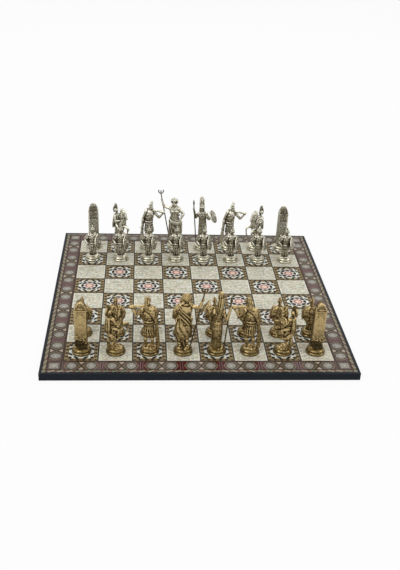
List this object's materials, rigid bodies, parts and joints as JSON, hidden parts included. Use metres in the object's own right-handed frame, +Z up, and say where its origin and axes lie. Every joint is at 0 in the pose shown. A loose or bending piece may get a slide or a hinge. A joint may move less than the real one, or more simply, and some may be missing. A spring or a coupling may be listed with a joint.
{
  "type": "chessboard",
  "caption": "Flat square chessboard of inlaid veneers with a star in each dark square and a medallion border, set out with cast metal chessmen in the form of ancient Greek figures.",
  "frame": {"origin": "under the middle of the board, on the plane the felt pads stand on", "axes": "+Z up; +X to the right and +Y away, as seen by the player of the gold side"},
  "size_m": [0.3202, 0.3202, 0.0868],
  "materials": {
    "panel_core": "bare fibre or ply core, hidden under the veneers",
    "backing": "plain dark veneer, satin",
    "felt": "black felt",
    "black_edge": "black lacquer, satin",
    "rope_inlay": "slanted strips of cream, pink, gold and brown, clear lacquer",
    "pale_inlay": "pale inlay, clear lacquer",
    "border_ground": "brown and dark red inlay, clear lacquer",
    "grey_burr": "grey speckled burr, clear lacquer",
    "dark_line": "dark stringing, clear lacquer",
    "pale_square": "pale streaked inlay like mother of pearl, clear lacquer",
    "golden_wood": "golden brown with small dark dots, clear lacquer",
    "black_white_mosaic": "black and white triangles, clear lacquer",
    "pink_star": "white petals round a pink centre, clear lacquer",
    "antique_silver": "cast white metal with a darkened silver finish",
    "antique_brass": "cast metal with a darkened brass finish, polished foot"
  },
  "bodies": {
    "board": {"core_panel": "panel_core", "backing_veneer": "backing", "felt_pads": "felt", "lipping_front": "black_edge", "lipping_right": "black_edge", "lipping_back": "black_edge", "lipping_left": "black_edge", "rope_band_front": "rope_inlay", "rope_band_right": "rope_inlay", "rope_band_back": "rope_inlay", "rope_band_left": "rope_inlay", "rope_corners": "pale_inlay", "border_band_front": "border_ground", "border_band_right": "border_ground", "border_band_back": "border_ground", "border_band_left": "border_ground", "corner_blocks": "grey_burr", "border_medallions": "grey_burr", "border_hourglasses": "pale_inlay", "line_lattice": "dark_line", "light_squares": "pale_square", "dark_square_frames": "golden_wood", "star_fields": "black_white_mosaic", "stars": "pink_star"},
    "gold_king": {"gold_king": "antique_brass"},
    "gold_queen": {"gold_queen": "antique_brass"},
    "silver_king": {"silver_king": "antique_silver"},
    "silver_queen": {"silver_queen": "antique_silver"},
    "gold_bishop_left": {"gold_bishop_left": "antique_brass"},
    "gold_bishop_right": {"gold_bishop_right": "antique_brass"},
    "gold_knight_left": {"gold_knight_left": "antique_brass"},
    "gold_knight_right": {"gold_knight_right": "antique_brass"},
    "gold_rook_left": {"gold_rook_left": "antique_brass"},
    "gold_rook_right": {"gold_rook_right": "antique_brass"},
    "silver_bishop_left": {"silver_bishop_left": "antique_silver"},
    "silver_bishop_right": {"silver_bishop_right": "antique_silver"},
    "silver_knight_left": {"silver_knight_left": "antique_silver"},
    "silver_knight_right": {"silver_knight_right": "antique_silver"},
    "silver_rook_left": {"silver_rook_left": "antique_silver"},
    "silver_rook_right": {"silver_rook_right": "antique_silver"},
    "gold_pawn_1": {"gold_pawn_1": "antique_brass"},
    "gold_pawn_2": {"gold_pawn_2": "antique_brass"},
    "gold_pawn_3": {"gold_pawn_3": "antique_brass"},
    "gold_pawn_4": {"gold_pawn_4": "antique_brass"},
    "gold_pawn_5": {"gold_pawn_5": "antique_brass"},
    "gold_pawn_6": {"gold_pawn_6": "antique_brass"},
    "gold_pawn_7": {"gold_pawn_7": "antique_brass"},
    "gold_pawn_8": {"gold_pawn_8": "antique_brass"},
    "silver_pawn_1": {"silver_pawn_1": "antique_silver"},
    "silver_pawn_2": {"silver_pawn_2": "antique_silver"},
    "silver_pawn_3": {"silver_pawn_3": "antique_silver"},
    "silver_pawn_4": {"silver_pawn_4": "antique_silver"},
    "silver_pawn_5": {"silver_pawn_5": "antique_silver"},
    "silver_pawn_6": {"silver_pawn_6": "antique_silver"},
    "silver_pawn_7": {"silver_pawn_7": "antique_silver"},
    "silver_pawn_8": {"silver_pawn_8": "antique_silver"}
  },
  "joints": [
    {"name": "gold_king_lift", "type": "slide", "parent": "board", "child": "gold_king", "axis": [0, 0, 1], "range_m": [0, 0.1]},
    {"name": "gold_queen_lift", "type": "slide", "parent": "board", "child": "gold_queen", "axis": [0, 0, 1], "range_m": [0, 0.1]},
    {"name": "silver_king_lift", "type": "slide", "parent": "board", "child": "silver_king", "axis": [0, 0, 1], "range_m": [0, 0.1]},
    {"name": "silver_queen_lift", "type": "slide", "parent": "board", "child": "silver_queen", "axis": [0, 0, 1], "range_m": [0, 0.1]},
    {"name": "gold_bishop_left_lift", "type": "slide", "parent": "board", "child": "gold_bishop_left", "axis": [0, 0, 1], "range_m": [0, 0.1]},
    {"name": "gold_bishop_right_lift", "type": "slide", "parent": "board", "child": "gold_bishop_right", "axis": [0, 0, 1], "range_m": [0, 0.1]},
    {"name": "gold_knight_left_lift", "type": "slide", "parent": "board", "child": "gold_knight_left", "axis": [0, 0, 1], "range_m": [0, 0.1]},
    {"name": "gold_knight_right_lift", "type": "slide", "parent": "board", "child": "gold_knight_right", "axis": [0, 0, 1], "range_m": [0, 0.1]},
    {"name": "gold_rook_left_lift", "type": "slide", "parent": "board", "child": "gold_rook_left", "axis": [0, 0, 1], "range_m": [0, 0.1]},
    {"name": "gold_rook_right_lift", "type": "slide", "parent": "board", "child": "gold_rook_right", "axis": [0, 0, 1], "range_m": [0, 0.1]},
    {"name": "silver_bishop_left_lift", "type": "slide", "parent": "board", "child": "silver_bishop_left", "axis": [0, 0, 1], "range_m": [0, 0.1]},
    {"name": "silver_bishop_right_lift", "type": "slide", "parent": "board", "child": "silver_bishop_right", "axis": [0, 0, 1], "range_m": [0, 0.1]},
    {"name": "silver_knight_left_lift", "type": "slide", "parent": "board", "child": "silver_knight_left", "axis": [0, 0, 1], "range_m": [0, 0.1]},
    {"name": "silver_knight_right_lift", "type": "slide", "parent": "board", "child": "silver_knight_right", "axis": [0, 0, 1], "range_m": [0, 0.1]},
    {"name": "silver_rook_left_lift", "type": "slide", "parent": "board", "child": "silver_rook_left", "axis": [0, 0, 1], "range_m": [0, 0.1]},
    {"name": "silver_rook_right_lift", "type": "slide", "parent": "board", "child": "silver_rook_right", "axis": [0, 0, 1], "range_m": [0, 0.1]},
    {"name": "gold_pawn_1_lift", "type": "slide", "parent": "board", "child": "gold_pawn_1", "axis": [0, 0, 1], "range_m": [0, 0.1]},
    {"name": "gold_pawn_2_lift", "type": "slide", "parent": "board", "child": "gold_pawn_2", "axis": [0, 0, 1], "range_m": [0, 0.1]},
    {"name": "gold_pawn_3_lift", "type": "slide", "parent": "board", "child": "gold_pawn_3", "axis": [0, 0, 1], "range_m": [0, 0.1]},
    {"name": "gold_pawn_4_lift", "type": "slide", "parent": "board", "child": "gold_pawn_4", "axis": [0, 0, 1], "range_m": [0, 0.1]},
    {"name": "gold_pawn_5_lift", "type": "slide", "parent": "board", "child": "gold_pawn_5", "axis": [0, 0, 1], "range_m": [0, 0.1]},
    {"name": "gold_pawn_6_lift", "type": "slide", "parent": "board", "child": "gold_pawn_6", "axis": [0, 0, 1], "range_m": [0, 0.1]},
    {"name": "gold_pawn_7_lift", "type": "slide", "parent": "board", "child": "gold_pawn_7", "axis": [0, 0, 1], "range_m": [0, 0.1]},
    {"name": "gold_pawn_8_lift", "type": "slide", "parent": "board", "child": "gold_pawn_8", "axis": [0, 0, 1], "range_m": [0, 0.1]},
    {"name": "silver_pawn_1_lift", "type": "slide", "parent": "board", "child": "silver_pawn_1", "axis": [0, 0, 1], "range_m": [0, 0.1]},
    {"name": "silver_pawn_2_lift", "type": "slide", "parent": "board", "child": "silver_pawn_2", "axis": [0, 0, 1], "range_m": [0, 0.1]},
    {"name": "silver_pawn_3_lift", "type": "slide", "parent": "board", "child": "silver_pawn_3", "axis": [0, 0, 1], "range_m": [0, 0.1]},
    {"name": "silver_pawn_4_lift", "type": "slide", "parent": "board", "child": "silver_pawn_4", "axis": [0, 0, 1], "range_m": [0, 0.1]},
    {"name": "silver_pawn_5_lift", "type": "slide", "parent": "board", "child": "silver_pawn_5", "axis": [0, 0, 1], "range_m": [0, 0.1]},
    {"name": "silver_pawn_6_lift", "type": "slide", "parent": "board", "child": "silver_pawn_6", "axis": [0, 0, 1], "range_m": [0, 0.1]},
    {"name": "silver_pawn_7_lift", "type": "slide", "parent": "board", "child": "silver_pawn_7", "axis": [0, 0, 1], "range_m": [0, 0.1]},
    {"name": "silver_pawn_8_lift", "type": "slide", "parent": "board", "child": "silver_pawn_8", "axis": [0, 0, 1], "range_m": [0, 0.1]}
  ]
}
